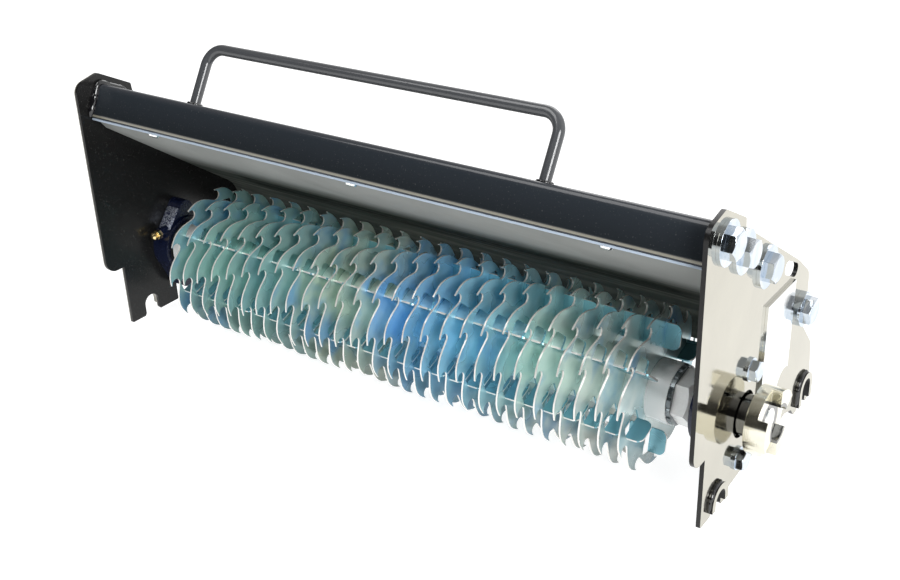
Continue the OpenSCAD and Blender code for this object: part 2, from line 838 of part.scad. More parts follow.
module blade_outline() {
    difference() {
        polygon(tooth_edge);
        for (k = [0:tooth_count - 1]) rotate(first_tip + k*tooth_step)
            translate([gullet_mid, 0]) circle(gullet_r, $fn = 32);
        circle(hex_r + hex_ease, $fn = 6);
        for (k = [0:tab_count - 1]) rotate(tab_first + k*360/tab_count)
            polygon(rounded([
                [tab_r0, 0, 0],
                [tab_r1, 0, 0],
                [tab_r1, -window_w, window_r],
                [tab_r0, -window_w, window_r]
            ]));
    }
}

// A tab stands along the window's upper edge and reaches out of the disc towards +X
module tab() {
    rotate([90, 0, 0]) linear_extrude(blade_t)
        polygon(rounded([
            [0, tab_r0, 0],
            [0, tab_r1, 0],
            [blade_t + tab_reach, tab_r1, tab_corner_r],
            [blade_t + tab_reach, tab_r0, tab_corner_r]
        ]));
}

// One disc with its left face at x = 0
module blade_blank() {
    along_x(0, blade_t) blade_outline();
    for (k = [0:tab_count - 1]) rotate([tab_first + k*360/tab_count - 90, 0, 0])
        translate([0, blade_t, 0]) tab();
}

// Each disc sits one flat of the hexagon further round than the last
module blade(i) {
    color(i % 2 == 0 ? "#5fb0bd" : "#8fc2cf") place()
        translate([stack_left + i*blade_pitch, 0, 0]) rotate([index_angle*i, 0, 0]) blade_blank();
}

// Coupling: neck, body and jaws in one piece, with a keyway and a screw hole
module drive_coupling() {
    color("#d9d6c4") place() difference() {
        union() {
            along_x(ring_out, coupling_back - ring_out) circle(neck_r);
            along_x(coupling_back, coupling_body + jaw_h) circle(coupling_r);
        }
        along_x(coupling_face, jaw_h + 1) {
            circle(jaw_in_r);
            for (k = [0:jaw_count - 1]) rotate(jaw_first + (k + 0.5)*360/jaw_count) jaw_gap();
        }
        along_x(ring_out - 1, coupling_face - ring_out + 2) circle(tail_d/2 + fit/2);
        along_x(ring_out - 1, coupling_face - ring_out + 2) rotate(key_angle)
            translate([0, -key_w/2 - fit]) square([keyway_r, key_w + 2*fit]);
        translate([coupling_back + coupling_body/2, 0, 0]) rotate([key_angle + 90, 0, 0])
            translate([0, 0, tail_d/2 - 1]) cylinder(h = coupling_r, r = grub_r + fit);
    }
}

// The space between two jaws: a sector that runs past the coupling's rim
module jaw_gap() {
    far = 2*coupling_r;
    half = (360/jaw_count - jaw_angle)/2;
    polygon([[0, 0], far*[cos(half), -sin(half)], far*[cos(half), sin(half)]]);
}

module coupling_key() {
    color("#9aa0a6") place() along_x(key_start, key_l) rotate(key_angle)
        translate([key_in_r, -key_w/2]) square([key_out_r - key_in_r, key_w]);
}

// Socket screw opposite the key
module coupling_screw() {
    tip = tail_d/2;
    length = 8;
    color("#3a3d42") place() translate([coupling_back + coupling_body/2, 0, 0]) rotate([key_angle + 90, 0, 0])
        difference() {
            translate([0, 0, tip]) cylinder(h = length, r = grub_r);
            translate([0, 0, tip + length - 3]) cylinder(h = 4, r = 1.4, $fn = 6);
        }
}

left_side_plate();
right_side_plate();
hook_collars();
side_strip();
cross_beam();
beam_end_plugs();
carry_handle();
deflector_shield();
shield_rivets();
plate_bolts();
plate_washers();
plate_nuts();
left_bearing_housing();
right_bearing_housing();
housing_bolts();
housing_washers();
grease_nipples();
bearing_outer_rings();
bearing_inner_rings();
bearing_balls();
shaft_seals();
rotor_shaft();
shaft_end_screw();
left_end_collar();
right_end_collar();
lock_washer();
clamp_nut();
journal_spacer();
blade_spacers();
drive_coupling();
coupling_key();
coupling_screw();
for (i = [0:blade_count - 1]) blade(i);
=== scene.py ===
import json
import math

import bpy
import numpy as np
from mathutils import Matrix


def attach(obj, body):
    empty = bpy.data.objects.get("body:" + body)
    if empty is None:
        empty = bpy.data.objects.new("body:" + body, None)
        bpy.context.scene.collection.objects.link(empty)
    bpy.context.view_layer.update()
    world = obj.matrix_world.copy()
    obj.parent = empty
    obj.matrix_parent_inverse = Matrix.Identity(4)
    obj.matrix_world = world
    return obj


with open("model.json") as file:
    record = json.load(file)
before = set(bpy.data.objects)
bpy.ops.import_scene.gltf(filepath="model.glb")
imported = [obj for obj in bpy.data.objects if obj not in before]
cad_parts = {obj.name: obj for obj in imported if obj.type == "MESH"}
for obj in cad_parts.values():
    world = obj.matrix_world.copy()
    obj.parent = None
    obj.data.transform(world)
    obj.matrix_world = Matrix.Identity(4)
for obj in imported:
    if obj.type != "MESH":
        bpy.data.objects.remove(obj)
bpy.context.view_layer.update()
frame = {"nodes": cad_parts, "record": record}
cadNodes = frame["nodes"]
print("frame loaded:", len(cadNodes), "nodes")

# The rotor's axis in the shared frame, in metres; x lies halfway between the side plates
rotorAxis = {"x": -0.00605, "y": -0.026, "z": 0.0565}
# The side plates' faces, in millimetres to either side of that halfway place
plateFaces = {"inner": 254.5, "outer": 257.5}
# The first disc's left face from the halfway place, the discs' spacing and their number, in metres
discStack = {"first": -0.20158, "step": 0.015319, "count": 27}
# The beam's middle, in millimetres to the rear of the rotor's axis and above it, and its tilt in
# degrees, front edge up
beamSpot = {"middle": (-47.63, 134.68), "tilt": 28.0}


# Points given in millimetres about the rotor's axis, moved and scaled into the shared frame.
def fromAxis(points):
    shift = np.array([rotorAxis["x"], rotorAxis["y"], rotorAxis["z"]])
    return np.asarray(points, float) * 0.001 + shift


# Places a camera or a lamp, which looks away from its own back direction, and adds it to the scene.
def setOut(thing, right, up, back, spot):
    matrix = np.eye(4)
    matrix[:3, :] = np.column_stack([right, up, back, spot])
    thing.matrix_world = Matrix(matrix.tolist())
    bpy.context.scene.collection.objects.link(thing)


photoView = {
    "turn": 35.88,  # degrees round from the front towards the right
    "tilt": 26.93,  # degrees down
    "roll": -2.03,
    "spot": (0.49335, -0.6728, 0.4902),
    "lens": 49.844,
    "sensor": 36.0,
    "near": 0.02,
    "far": 60.0,
}


# The view direction comes from the turn and the tilt; right and up are rolled about it.
def setCamera(look):
    turn, tilt, roll = (math.radians(look[name]) for name in ("turn", "tilt", "roll"))
    level = math.cos(tilt)
    ahead = np.array([-math.sin(turn) * level, math.cos(turn) * level, -math.sin(tilt)])
    right = np.array([math.cos(turn), math.sin(turn), 0.0])
    up = np.cross(right, ahead)
    rolledRight = math.cos(roll) * right + math.sin(roll) * up
    rolledUp = math.cos(roll) * up - math.sin(roll) * right
    data = bpy.data.cameras.new("photoCamera")
    data.lens, data.sensor_width = look["lens"], look["sensor"]
    data.clip_start, data.clip_end = look["near"], look["far"]
    camera = bpy.data.objects.new("photoCamera", data)
    setOut(camera, rolledRight, rolledUp, -ahead, look["spot"])
    bpy.context.scene.camera = camera


setCamera(photoView)
print("camera set")


# Feeds a node's inputs: a socket is linked to the input, anything else becomes its value.
def feed(tree, node, feeds):
    for name, value in feeds.items():
        if isinstance(value, bpy.types.NodeSocket):
            tree.links.new(value, node.inputs[name])
        else:
            node.inputs[name].default_value = value


# Adds a node at a place of the node editor, with its settings and the feeds of its inputs.
def put(tree, kind, where, feeds=None, **settings):
    node = tree.nodes.new(kind)
    node.location = where
    for name, value in settings.items():
        setattr(node, name, value)
    feed(tree, node, feeds or {})
    return node


def placeGroup(tree, group, where, feeds=None):
    return put(tree, "ShaderNodeGroup", where, feeds, node_tree=group)


# One sum on the numbers or sockets in values.
def calc(tree, operation, where, *values):
    feeds = dict(enumerate(values))
    return put(tree, "ShaderNodeMath", where, feeds, operation=operation).outputs[0]


def mixColour(tree, share, first, second, where, blend="MIX"):
    colours = [c if isinstance(c, bpy.types.NodeSocket) else (*c, 1.0) for c in (first, second)]
    feeds = {0: share, 6: colours[0], 7: colours[1]}
    return put(tree, "ShaderNodeMix", where, feeds, data_type="RGBA", blend_type=blend).outputs[2]


# Maps a value from one range to another and keeps it inside.
def spread(tree, value, low, high, outLow, outHigh, where):
    feeds = {0: value, 1: low, 2: high, 3: outLow, 4: outHigh}
    return put(tree, "ShaderNodeMapRange", where, feeds, clamp=True).outputs[0]


def objectSpot(tree, where):
    return put(tree, "ShaderNodeTexCoord", where).outputs["Object"]


def splitSpot(tree, spot, where):
    return put(tree, "ShaderNodeSeparateXYZ", where, {0: spot}).outputs


def noiseOver(tree, spot, scale, where, **more):
    feeds = {"Vector": spot, "Scale": scale, **more}
    return put(tree, "ShaderNodeTexNoise", where, feeds).outputs[0]


# The noise of a place that is stretched first, so that its grain runs along one direction.
def grainOver(tree, spot, stretch, scale, where, **more):
    feeds = {"Vector": spot, "Scale": stretch}
    drawn = put(tree, "ShaderNodeMapping", (where[0] - 200, where[1]), feeds).outputs[0]
    return noiseOver(tree, drawn, scale, where, **more)


def bumpFrom(tree, height, strength, distance, where, **more):
    feeds = {"Height": height, "Strength": strength, "Distance": distance, **more}
    return put(tree, "ShaderNodeBump", where, feeds).outputs[0]


def startGroup(name, inputs, outputs):
    tree = bpy.data.node_groups.new(name, "ShaderNodeTree")
    number = {"socket_type": "NodeSocketFloat"}
    for title, value in inputs.items():
        tree.interface.new_socket(name=title, in_out="INPUT", **number).default_value = value
    for title in outputs:
        tree.interface.new_socket(name=title, in_out="OUTPUT", **number)
    return tree, tree.nodes.new("NodeGroupInput"), tree.nodes.new("NodeGroupOutput")


def startMaterial(name):
    material = bpy.data.materials.new(name)
    material.use_nodes = True
    tree = material.node_tree
    tree.nodes.clear()
    shader = put(tree, "ShaderNodeBsdfPrincipled", (600, 0))
    put(tree, "ShaderNodeOutputMaterial", (900, 0), {0: shader.outputs[0]})
    return material, tree, shader


# How far a place lies from the rotor's axis along a direction that falls to the rear by the given
# slope, in metres: the dot product of the two, less that of the axis itself.
def runAlong(tree, spot, slope, where):
    ahead = (0.0, math.cos(slope), -math.sin(slope))
    start = ahead[1] * rotorAxis["y"] + ahead[2] * rotorAxis["z"]
    feeds = {0: spot, 1: ahead}
    dot = put(tree, "ShaderNodeVectorMath", where, feeds, operation="DOT_PRODUCT").outputs["Value"]
    return calc(tree, "SUBTRACT", (where[0] + 200, where[1]), dot, start)


# A ramp through the given places and tints.
def tintBands(tree, share, bands, where):
    ramp = put(tree, "ShaderNodeValToRGB", where, {0: share})
    elements = ramp.color_ramp.elements
    elements[0].position, elements[1].position = bands[0][0], bands[-1][0]
    for place, _ in bands[1:-1]:
        elements.new(place)
    for element, (_, tint) in zip(elements, bands):
        element.color = (*tint, 1.0)
    return ramp.outputs[0]


smudgeLook = {
    "broad": {"Detail": 5.0, "Roughness": 0.6, "Distortion": 0.7},
    "broadRange": (0.42, 0.68),  # noise below the first is clean, above the second fully smudged
    "speckScale": 900.0,
    "speckRange": (0.66, 0.74),
}


# Broad handling marks and fine dust: two noises at different scales, each cut to a mask.
def makeSmudges():
    look = smudgeLook
    tree, enter, leave = startGroup("smudges", {"Scale": 18.0, "Dust": 0.3}, ("Smudge", "Dust"))
    spot = objectSpot(tree, (-900, 0))
    broad = noiseOver(tree, spot, enter.outputs["Scale"], (-650, 150), **look["broad"])
    fine = noiseOver(tree, spot, look["speckScale"], (-650, -150), Detail=2.0)
    specks = spread(tree, fine, *look["speckRange"], 0.0, 1.0, (-400, -150))
    feed(tree, leave, {
        "Smudge": spread(tree, broad, *look["broadRange"], 0.0, 1.0, (-400, 150)),
        "Dust": calc(tree, "MULTIPLY", (-150, -150), specks, enter.outputs["Dust"]),
    })
    return tree


peelLook = {"wideScale": 24.0, "wideShare": 2.0}


# The faint waviness of sprayed gloss paint: a soft noise plus a broader one.
def makePeel():
    tree, enter, leave = startGroup("paintPeel", {"Scale": 260.0}, ("Height",))
    spot = objectSpot(tree, (-900, 0))
    fine = noiseOver(tree, spot, enter.outputs["Scale"], (-650, 100), Detail=1.0)
    wide = noiseOver(tree, spot, peelLook["wideScale"], (-650, -100), Detail=2.0)
    height = calc(tree, "MULTIPLY_ADD", (-400, 0), wide, peelLook["wideShare"], fine)
    feed(tree, leave, {"Height": height})
    return tree


# Lathe marks: noise that varies only with the place along the rotor's axis and the distance from
# it. The distance comes out as well.
def makeTurning():
    tree, enter, leave = startGroup("latheMarks", {"Scale": 900.0}, ("Height", "Radius"))
    x, y, z = splitSpot(tree, objectSpot(tree, (-1300, 0)), (-1100, 0))
    aside = calc(tree, "SUBTRACT", (-900, 100), y, rotorAxis["y"])
    above = calc(tree, "SUBTRACT", (-900, -100), z, rotorAxis["z"])
    flat = put(tree, "ShaderNodeCombineXYZ", (-700, 0), {0: aside, 1: above}).outputs[0]
    length = put(tree, "ShaderNodeVectorMath", (-500, 0), {0: flat}, operation="LENGTH")
    radius = length.outputs["Value"]
    both = put(tree, "ShaderNodeCombineXYZ", (-300, 0), {0: x, 1: radius}).outputs[0]
    marks = noiseOver(tree, both, enter.outputs["Scale"], (-100, 0), Detail=3.0, Roughness=0.7)
    feed(tree, leave, {"Height": marks, "Radius": radius})
    return tree


# Mask is 1 where a face's own normal lies along X more than the cut asks; Outward is 1 where such
# a face also looks away from the rotor's middle.
def makeFacing():
    tree, enter, leave = startGroup("facesAlongAxis", {"Cut": 0.6}, ("Mask", "Outward"))
    coord = put(tree, "ShaderNodeTexCoord", (-900, 0)).outputs
    normal = splitSpot(tree, coord["Normal"], (-700, 100))[0]
    place = splitSpot(tree, coord["Object"], (-700, -100))[0]
    offMiddle = calc(tree, "SUBTRACT", (-500, -100), place, rotorAxis["x"])
    side = calc(tree, "SIGN", (-400, -100), offMiddle)
    signed = calc(tree, "MULTIPLY", (-250, -100), normal, side)
    size = calc(tree, "ABSOLUTE", (-500, 100), normal)
    feed(tree, leave, {
        "Mask": calc(tree, "GREATER_THAN", (-300, 100), size, enter.outputs["Cut"]),
        "Outward": calc(tree, "GREATER_THAN", (-100, -100), signed, enter.outputs["Cut"]),
    })
    return tree


smudges = makeSmudges()
paintPeel = makePeel()
latheMarks = makeTurning()
facesAlongAxis = makeFacing()
print("shared effects made")


# Handling marks take a finish from its clean roughness to its dulled one.
def dulled(tree, marks, roughness, where):
    return spread(tree, marks.outputs["Smudge"], 0.0, 1.0, *roughness, where)


paints = {
    "handleGrey": {
        "colour": (0.060, 0.063, 0.068),
        "dust": (0.12, 0.12, 0.12),
        "dustShare": 0.35,
        "roughness": (0.12, 0.20),  # clean and dulled
        "peel": 0.05,
        "specular": 0.6,
    },
    "housingNavy": {
        "colour": (0.006, 0.010, 0.034),
        "dust": (0.08, 0.09, 0.12),
        "dustShare": 0.35,
        "roughness": (0.26, 0.40),
        "peel": 0.12,
        "specular": 0.45,
    },
    "weldBlack": {
        "colour": (0.005, 0.005, 0.006),
        "dust": (0.08, 0.08, 0.08),
        "dustShare": 0.35,
        "roughness": (0.05, 0.12),
        "peel": 0.08,
        "specular": 0.8,
    },
}
sprayedPaint = {"markScale": 16.0, "peelScale": 260.0, "peelDepth": 0.0006}


# Gloss paint of the given tint, with a faint peel, marks that dull it and a few specks of dust.
def sprayPaint(tree, shader, look, tint):
    feeds = {"Scale": sprayedPaint["markScale"], "Dust": look["dustShare"]}
    marks = placeGroup(tree, smudges, (-700, -50), feeds)
    peel = placeGroup(tree, paintPeel, (-700, -300), {"Scale": sprayedPaint["peelScale"]})
    relief = (look["peel"], sprayedPaint["peelDepth"])
    feed(tree, shader, {
        "Base Color": mixColour(tree, marks.outputs["Dust"], tint, look["dust"], (-100, 200)),
        "Roughness": dulled(tree, marks, look["roughness"], (-100, 0)),
        "Normal": bumpFrom(tree, peel.outputs[0], *relief, (200, -200)),
        "Specular IOR Level": look["specular"],
    })


def paintFinish(name):
    material, tree, shader = startMaterial(name)
    sprayPaint(tree, shader, paints[name], paints[name]["colour"])
    return material


beamLook = {
    "middle": 0.09656,  # metres from the rotor's axis, square to the beam's top
    "half": 0.0135,
    # The bands hold painted light: a painted shadow at the bottom, a painted highlight as a light
    # line above it, and a face painted paler towards its top.
    "bands": [  # share of the height and the tint there
        (0.00, (0.002, 0.002, 0.002)),
        (0.035, (0.002, 0.002, 0.002)),
        (0.045, (0.240, 0.230, 0.185)),
        (0.085, (0.200, 0.190, 0.155)),
        (0.105, (0.014, 0.017, 0.020)),
        (0.50, (0.018, 0.022, 0.027)),
        (0.80, (0.021, 0.026, 0.032)),
        (1.00, (0.044, 0.047, 0.054)),
    ],
    "dust": (0.12, 0.12, 0.12),
    "dustShare": 0.3,
    "roughness": (0.08, 0.16),
    "peel": 0.05,
    "specular": 0.4,
}


# Dark gloss paint with painted light: it pales towards its upper edge, a painted highlight runs as
# a light line along the lower corner, and a painted shadow lies under that line.
def beamFinish():
    look = beamLook
    material, tree, shader = startMaterial("beamPaint")
    upward = math.radians(beamSpot["tilt"] - 90.0)
    height = runAlong(tree, objectSpot(tree, (-1300, 0)), upward, (-1100, 200))
    low, high = look["middle"] - look["half"], look["middle"] + look["half"]
    share = spread(tree, height, low, high, 0.0, 1.0, (-700, 200))
    sprayPaint(tree, shader, look, tintBands(tree, share, look["bands"], (-500, 200)))
    return material


shieldLook = {
    "slope": 35.3,  # degrees, falling to the rear
    "paleTo": (-0.058, -0.016),  # where the pale part gives way to the dark one, along the slope
    # Painted reflection: the straight sheet's light grey.
    "straight": (0.27, 0.28, 0.27),
    "smudged": 0.86,  # how much of the straight part's colour is left under a smudge
    # Painted shade: the lower curve's dark grey; the lighter streaks over it are painted
    # reflection.
    "curved": (0.055, 0.063, 0.057),
    "streak": (0.115, 0.120, 0.105),
    "streakStretch": (0.06, 1.0, 1.0),
    "streakScale": 160.0,
    "streakRange": (0.42, 0.66),
    "streakShare": 0.8,
    # Painted highlight: the bright cut front edge.
    "lip": (0.40, 0.47, 0.56),
    "lipTo": -0.11538,  # just behind the beam's front face, along the beam's own slope
    "markScale": 12.0,
    "roughness": (0.42, 0.58),
    "relief": (0.08, 0.0004),  # strength and depth
    "specular": 0.0,
}


# The straight sheet's light satin grey is a painted reflection. Its lower curve is painted shade,
# dark with long lighter streaks of painted reflection. Its cut front edge is bright with a painted
# highlight.
def shieldFinish():
    look = shieldLook
    material, tree, shader = startMaterial("shieldSheet")
    spot = objectSpot(tree, (-1500, 0))
    run = runAlong(tree, spot, math.radians(look["slope"]), (-1300, 200))
    curved = spread(tree, run, *look["paleTo"], 0.0, 1.0, (-900, 200))
    marks = placeGroup(tree, smudges, (-1100, -50), {"Scale": look["markScale"]})
    stretch, scale = look["streakStretch"], look["streakScale"]
    lines = grainOver(tree, spot, stretch, scale, (-1100, -300), Detail=3.0)
    streaks = spread(tree, lines, *look["streakRange"], 0.0, look["streakShare"], (-900, -300))
    dark = mixColour(tree, streaks, look["curved"], look["streak"], (-650, -100))
    smudged = [c * look["smudged"] for c in look["straight"]]
    light = mixColour(tree, marks.outputs["Smudge"], look["straight"], smudged, (-650, 100))
    sheet = mixColour(tree, curved, light, dark, (-400, 100))
    front = runAlong(tree, spot, math.radians(beamSpot["tilt"]), (-1300, 450))
    lip = calc(tree, "LESS_THAN", (-900, 450), front, look["lipTo"])
    feed(tree, shader, {
        "Base Color": mixColour(tree, lip, sheet, look["lip"], (-100, 200)),
        "Roughness": dulled(tree, marks, look["roughness"], (-100, 0)),
        "Normal": bumpFrom(tree, lines, *look["relief"], (200, -200)),
        "Specular IOR Level": look["specular"],
    })
    return material


plateLook = {
    "inside": (0.009, 0.009, 0.009),
    "dust": (0.10, 0.10, 0.09),
    # Painted reflection: the outward faces' bright cream.
    "outside": (0.51, 0.49, 0.42),
    "smudged": 0.93,  # how much of the outside's colour is left under a smudge
    "cut": 0.8,  # how squarely a face looks along the axis to count as an outer one
    "edgeTo": -0.26275,  # the left plate's edges carry a painted highlight this far in from its outer face
    # Painted highlight: the light line along the left plate's outer edges.
    "edge": (0.30, 0.29, 0.25),
    "markScale": 14.0,
    "dustShare": 0.4,
    "insideRoughness": 0.24,
    "outsideRoughness": (0.05, 0.11),
    "peelScale": 200.0,
    "relief": (0.04, 0.0005),
    "specular": 0.28,
}


# The outward faces are bright metal, a painted reflection on plates that are black paint
# throughout; everything else is black paint, and smudges dull the metal. A painted highlight lies
# along the left plate's outer edges.
def plateFinish():
    look = plateLook
    material, tree, shader = startMaterial("sidePlate")
    facing = placeGroup(tree, facesAlongAxis, (-700, 300), {"Cut": look["cut"]})
    outward = facing.outputs["Outward"]
    feeds = {"Scale": look["markScale"], "Dust": look["dustShare"]}
    marks = placeGroup(tree, smudges, (-700, 50), feeds)
    peel = placeGroup(tree, paintPeel, (-700, -250), {"Scale": look["peelScale"]})
    smudged = [c * look["smudged"] for c in look["outside"]]
    bright = mixColour(tree, marks.outputs["Smudge"], look["outside"], smudged, (-400, 300))
    dark = mixColour(tree, marks.outputs["Dust"], look["inside"], look["dust"], (-600, 100))
    along = splitSpot(tree, objectSpot(tree, (-900, 500)), (-700, 500))[0]
    # Painted highlight along the left plate's outer edges.
    litEdge = calc(tree, "LESS_THAN", (-500, 500), along, look["edgeTo"])
    dark = mixColour(tree, litEdge, dark, look["edge"], (-350, 100))
    shine = dulled(tree, marks, look["outsideRoughness"], (-400, -100))
    inward = calc(tree, "SUBTRACT", (-400, -200), 1.0, outward)
    satin = calc(tree, "MULTIPLY", (-250, -200), inward, look["insideRoughness"])
    feed(tree, shader, {
        "Base Color": mixColour(tree, outward, dark, bright, (-100, 200)),
        "Metallic": outward,
        "Roughness": calc(tree, "MAXIMUM", (-100, -50), shine, satin),
        "Normal": bumpFrom(tree, peel.outputs[0], *look["relief"], (200, -250)),
        "Specular IOR Level": look["specular"],
    })
    return material


metals = {
    "zincBolt": {
        "colour": (0.54, 0.61, 0.69),
        "second": (0.72, 0.76, 0.80),  # the tint under a handling mark
        "roughness": (0.06, 0.16),
        "grain": 1400.0,
        "relief": 0.06,
        "metallic": 1.0,
    },
    "zincBright": {
        "colour": (0.86, 0.87, 0.87),
        "second": (0.92, 0.92, 0.90),
        "roughness": (0.10, 0.22),
        "grain": 700.0,
        "relief": 0.05,
        "metallic": 1.0,
    },
    "turnedSteel": {
        "colour": (0.95, 0.96, 0.95),
        "second": (0.98, 0.98, 0.97),
        "roughness": (0.20, 0.34),
        "grain": 1500.0,
        "relief": 0.06,
        "metallic": 0.0,
    },
    "couplingSteel": {
        "colour": (0.78, 0.75, 0.62),
        "second": (0.86, 0.84, 0.74),
        "roughness": (0.08, 0.16),
        "grain": 1800.0,
        "relief": 0.16,
        "metallic": 1.0,
    },
    "bearingSteel": {
        "colour": (0.80, 0.81, 0.82),
        "second": (0.86, 0.86, 0.87),
        "roughness": (0.06, 0.12),
        "grain": 1500.0,
        "relief": 0.05,
        "metallic": 1.0,
    },
    "darkSteel": {
        "colour": (0.14, 0.16, 0.17),
        "second": (0.30, 0.33, 0.34),
        "roughness": (0.22, 0.36),
        "grain": 900.0,
        "relief": 0.12,
        "metallic": 0.8,
    },
    "nippleBrass": {
        "colour": (0.85, 0.62, 0.26),
        "second": (0.93, 0.76, 0.42),
        "roughness": (0.10, 0.22),
        "grain": 1600.0,
        "relief": 0.08,
        "metallic": 1.0,
    },
}
metalSurface = {"markScale": 60.0, "reliefDepth": 0.0002, "edgeRadius": 0.0004}
# Painted shade: the coupling's neck is darker within this radius.
couplingNeck = {"radius": 0.0142, "colour": (0.22, 0.22, 0.21)}

rotorTints = {
    "from": -0.212,  # metres along X
    "to": 0.200,
    "bands": [  # share of the way along the rotor and the tint there
        (0.00, (0.46, 0.70, 0.66)),
        (0.17, (0.50, 0.77, 0.71)),
        (0.27, (0.48, 0.73, 0.72)),
        (0.36, (0.72, 0.85, 0.72)),
        (0.46, (0.72, 0.84, 0.74)),
        (0.51, (0.50, 0.78, 0.96)),
        (0.55, (0.40, 0.74, 1.00)),
        (0.63, (0.46, 0.82, 1.00)),
        (0.71, (0.52, 0.88, 1.00)),
        (0.79, (0.76, 0.97, 0.90)),
        (0.86, (0.85, 0.98, 0.92)),
        (0.93, (0.92, 0.97, 0.90)),
        (1.00, (0.70, 0.90, 0.92)),
    ],
}


# Painted reflection: between the discs the steel takes their tint, as if it mirrored them; beyond
# the stack it keeps its own.
def tintBetweenDiscs(tree, tint):
    along = splitSpot(tree, objectSpot(tree, (-1100, 500)), (-950, 500))[0]
    share = spread(tree, along, rotorTints["from"], rotorTints["to"], 0.0, 1.0, (-800, 500))
    mirrored = tintBands(tree, share, rotorTints["bands"], (-600, 500))
    half = (discStack["count"] - 1) / 2 * discStack["step"]
    middle = rotorAxis["x"] + discStack["first"] + half
    offMiddle = calc(tree, "SUBTRACT", (-800, 700), along, middle)
    offMiddle = calc(tree, "ABSOLUTE", (-650, 700), offMiddle)
    inside = calc(tree, "LESS_THAN", (-500, 700), offMiddle, half)
    return mixColour(tree, inside, tint, mirrored, (-200, 450))


# Plated or turned metal: two tints mixed by handling marks, lathe marks in the relief, softened
# edges. Turned steel between the discs takes a painted reflection of their tint, and the coupling's
# neck is painted shade, darker than its ends.
def metalFinish(name):
    look = metals[name]
    material, tree, shader = startMaterial(name)
    marks = placeGroup(tree, smudges, (-700, 150), {"Scale": metalSurface["markScale"]})
    lathe = placeGroup(tree, latheMarks, (-700, -200), {"Scale": look["grain"]}).outputs
    tint = mixColour(tree, marks.outputs["Smudge"], look["colour"], look["second"], (-350, 250))
    # Painted reflection of the discs on the turned steel between them.
    if name == "turnedSteel":
        tint = tintBetweenDiscs(tree, tint)
    # Painted shade on the coupling's neck.
    if name == "couplingSteel":
        neck = calc(tree, "LESS_THAN", (-350, 450), lathe["Radius"], couplingNeck["radius"])
        tint = mixColour(tree, neck, tint, couplingNeck["colour"], (-100, 300))
    edges = {"Radius": metalSurface["edgeRadius"]}
    soft = put(tree, "ShaderNodeBevel", (-100, -350), edges, samples=4).outputs[0]
    relief = (look["relief"], metalSurface["reliefDepth"])
    feed(tree, shader, {
        "Base Color": tint,
        "Metallic": look["metallic"],
        "Roughness": dulled(tree, marks, look["roughness"], (-350, 0)),
        "Normal": bumpFrom(tree, lathe["Height"], *relief, (200, -250), Normal=soft),
    })
    return material


bladeLook = {
    "drift": {"scale": 22.0, "Detail": 3.0, "Roughness": 0.55},  # noise that moves the tints
    "driftReach": 0.20,
    "cloud": {"scale": 34.0, "Detail": 2.0, "Roughness": 0.4},  # noise that sets the patches
    "patch": (0.20, 0.42, 0.48),
    "patchRange": (0.46, 0.74),
    "patchShare": 0.8,
    "sky": (0.20, 0.50, 0.86),  # painted reflection: blue patches as mirrored in the zinc
    "skyRange": (0.54, 0.70),
    "skyShare": 0.75,
    "shade": 0.34,  # painted shade: how much of the tint is left at the bottom of the rotor
    "shadeHeights": (-0.048, -0.004),  # from the axis, fully shaded and not at all
    "edge": (0.95, 0.92, 0.88),
    "highEdge": (0.60, 0.58, 0.55),  # painted shade: the cut edges' colour at the top of the rotor, dimmer than low down
    "edgeHeights": (-0.020, 0.030),
    # Painted shade: the tabs' darker tint.
    "tab": (0.22, 0.46, 0.54),
    "faceCut": 0.6,
    "faceDepth": (-0.0003, 0.0019),  # a disc's two faces lie within this of its left one
    "rim": 0.0461,  # cut edges lie further from the axis than this
    "roughness": (0.18, 0.32),
    "roughRange": (0.3, 0.7),
    "brush": {"stretch": (1.0, 1.0, 0.12), "scale": 800.0, "Detail": 2.0},
    "wave": {"scale": 38.0, "Detail": 1.0},
    "waveShare": 9.0,
    "relief": (0.10, 0.0004),
    "edgeMetal": 0.2,
    "faceMetal": 0.6,
}
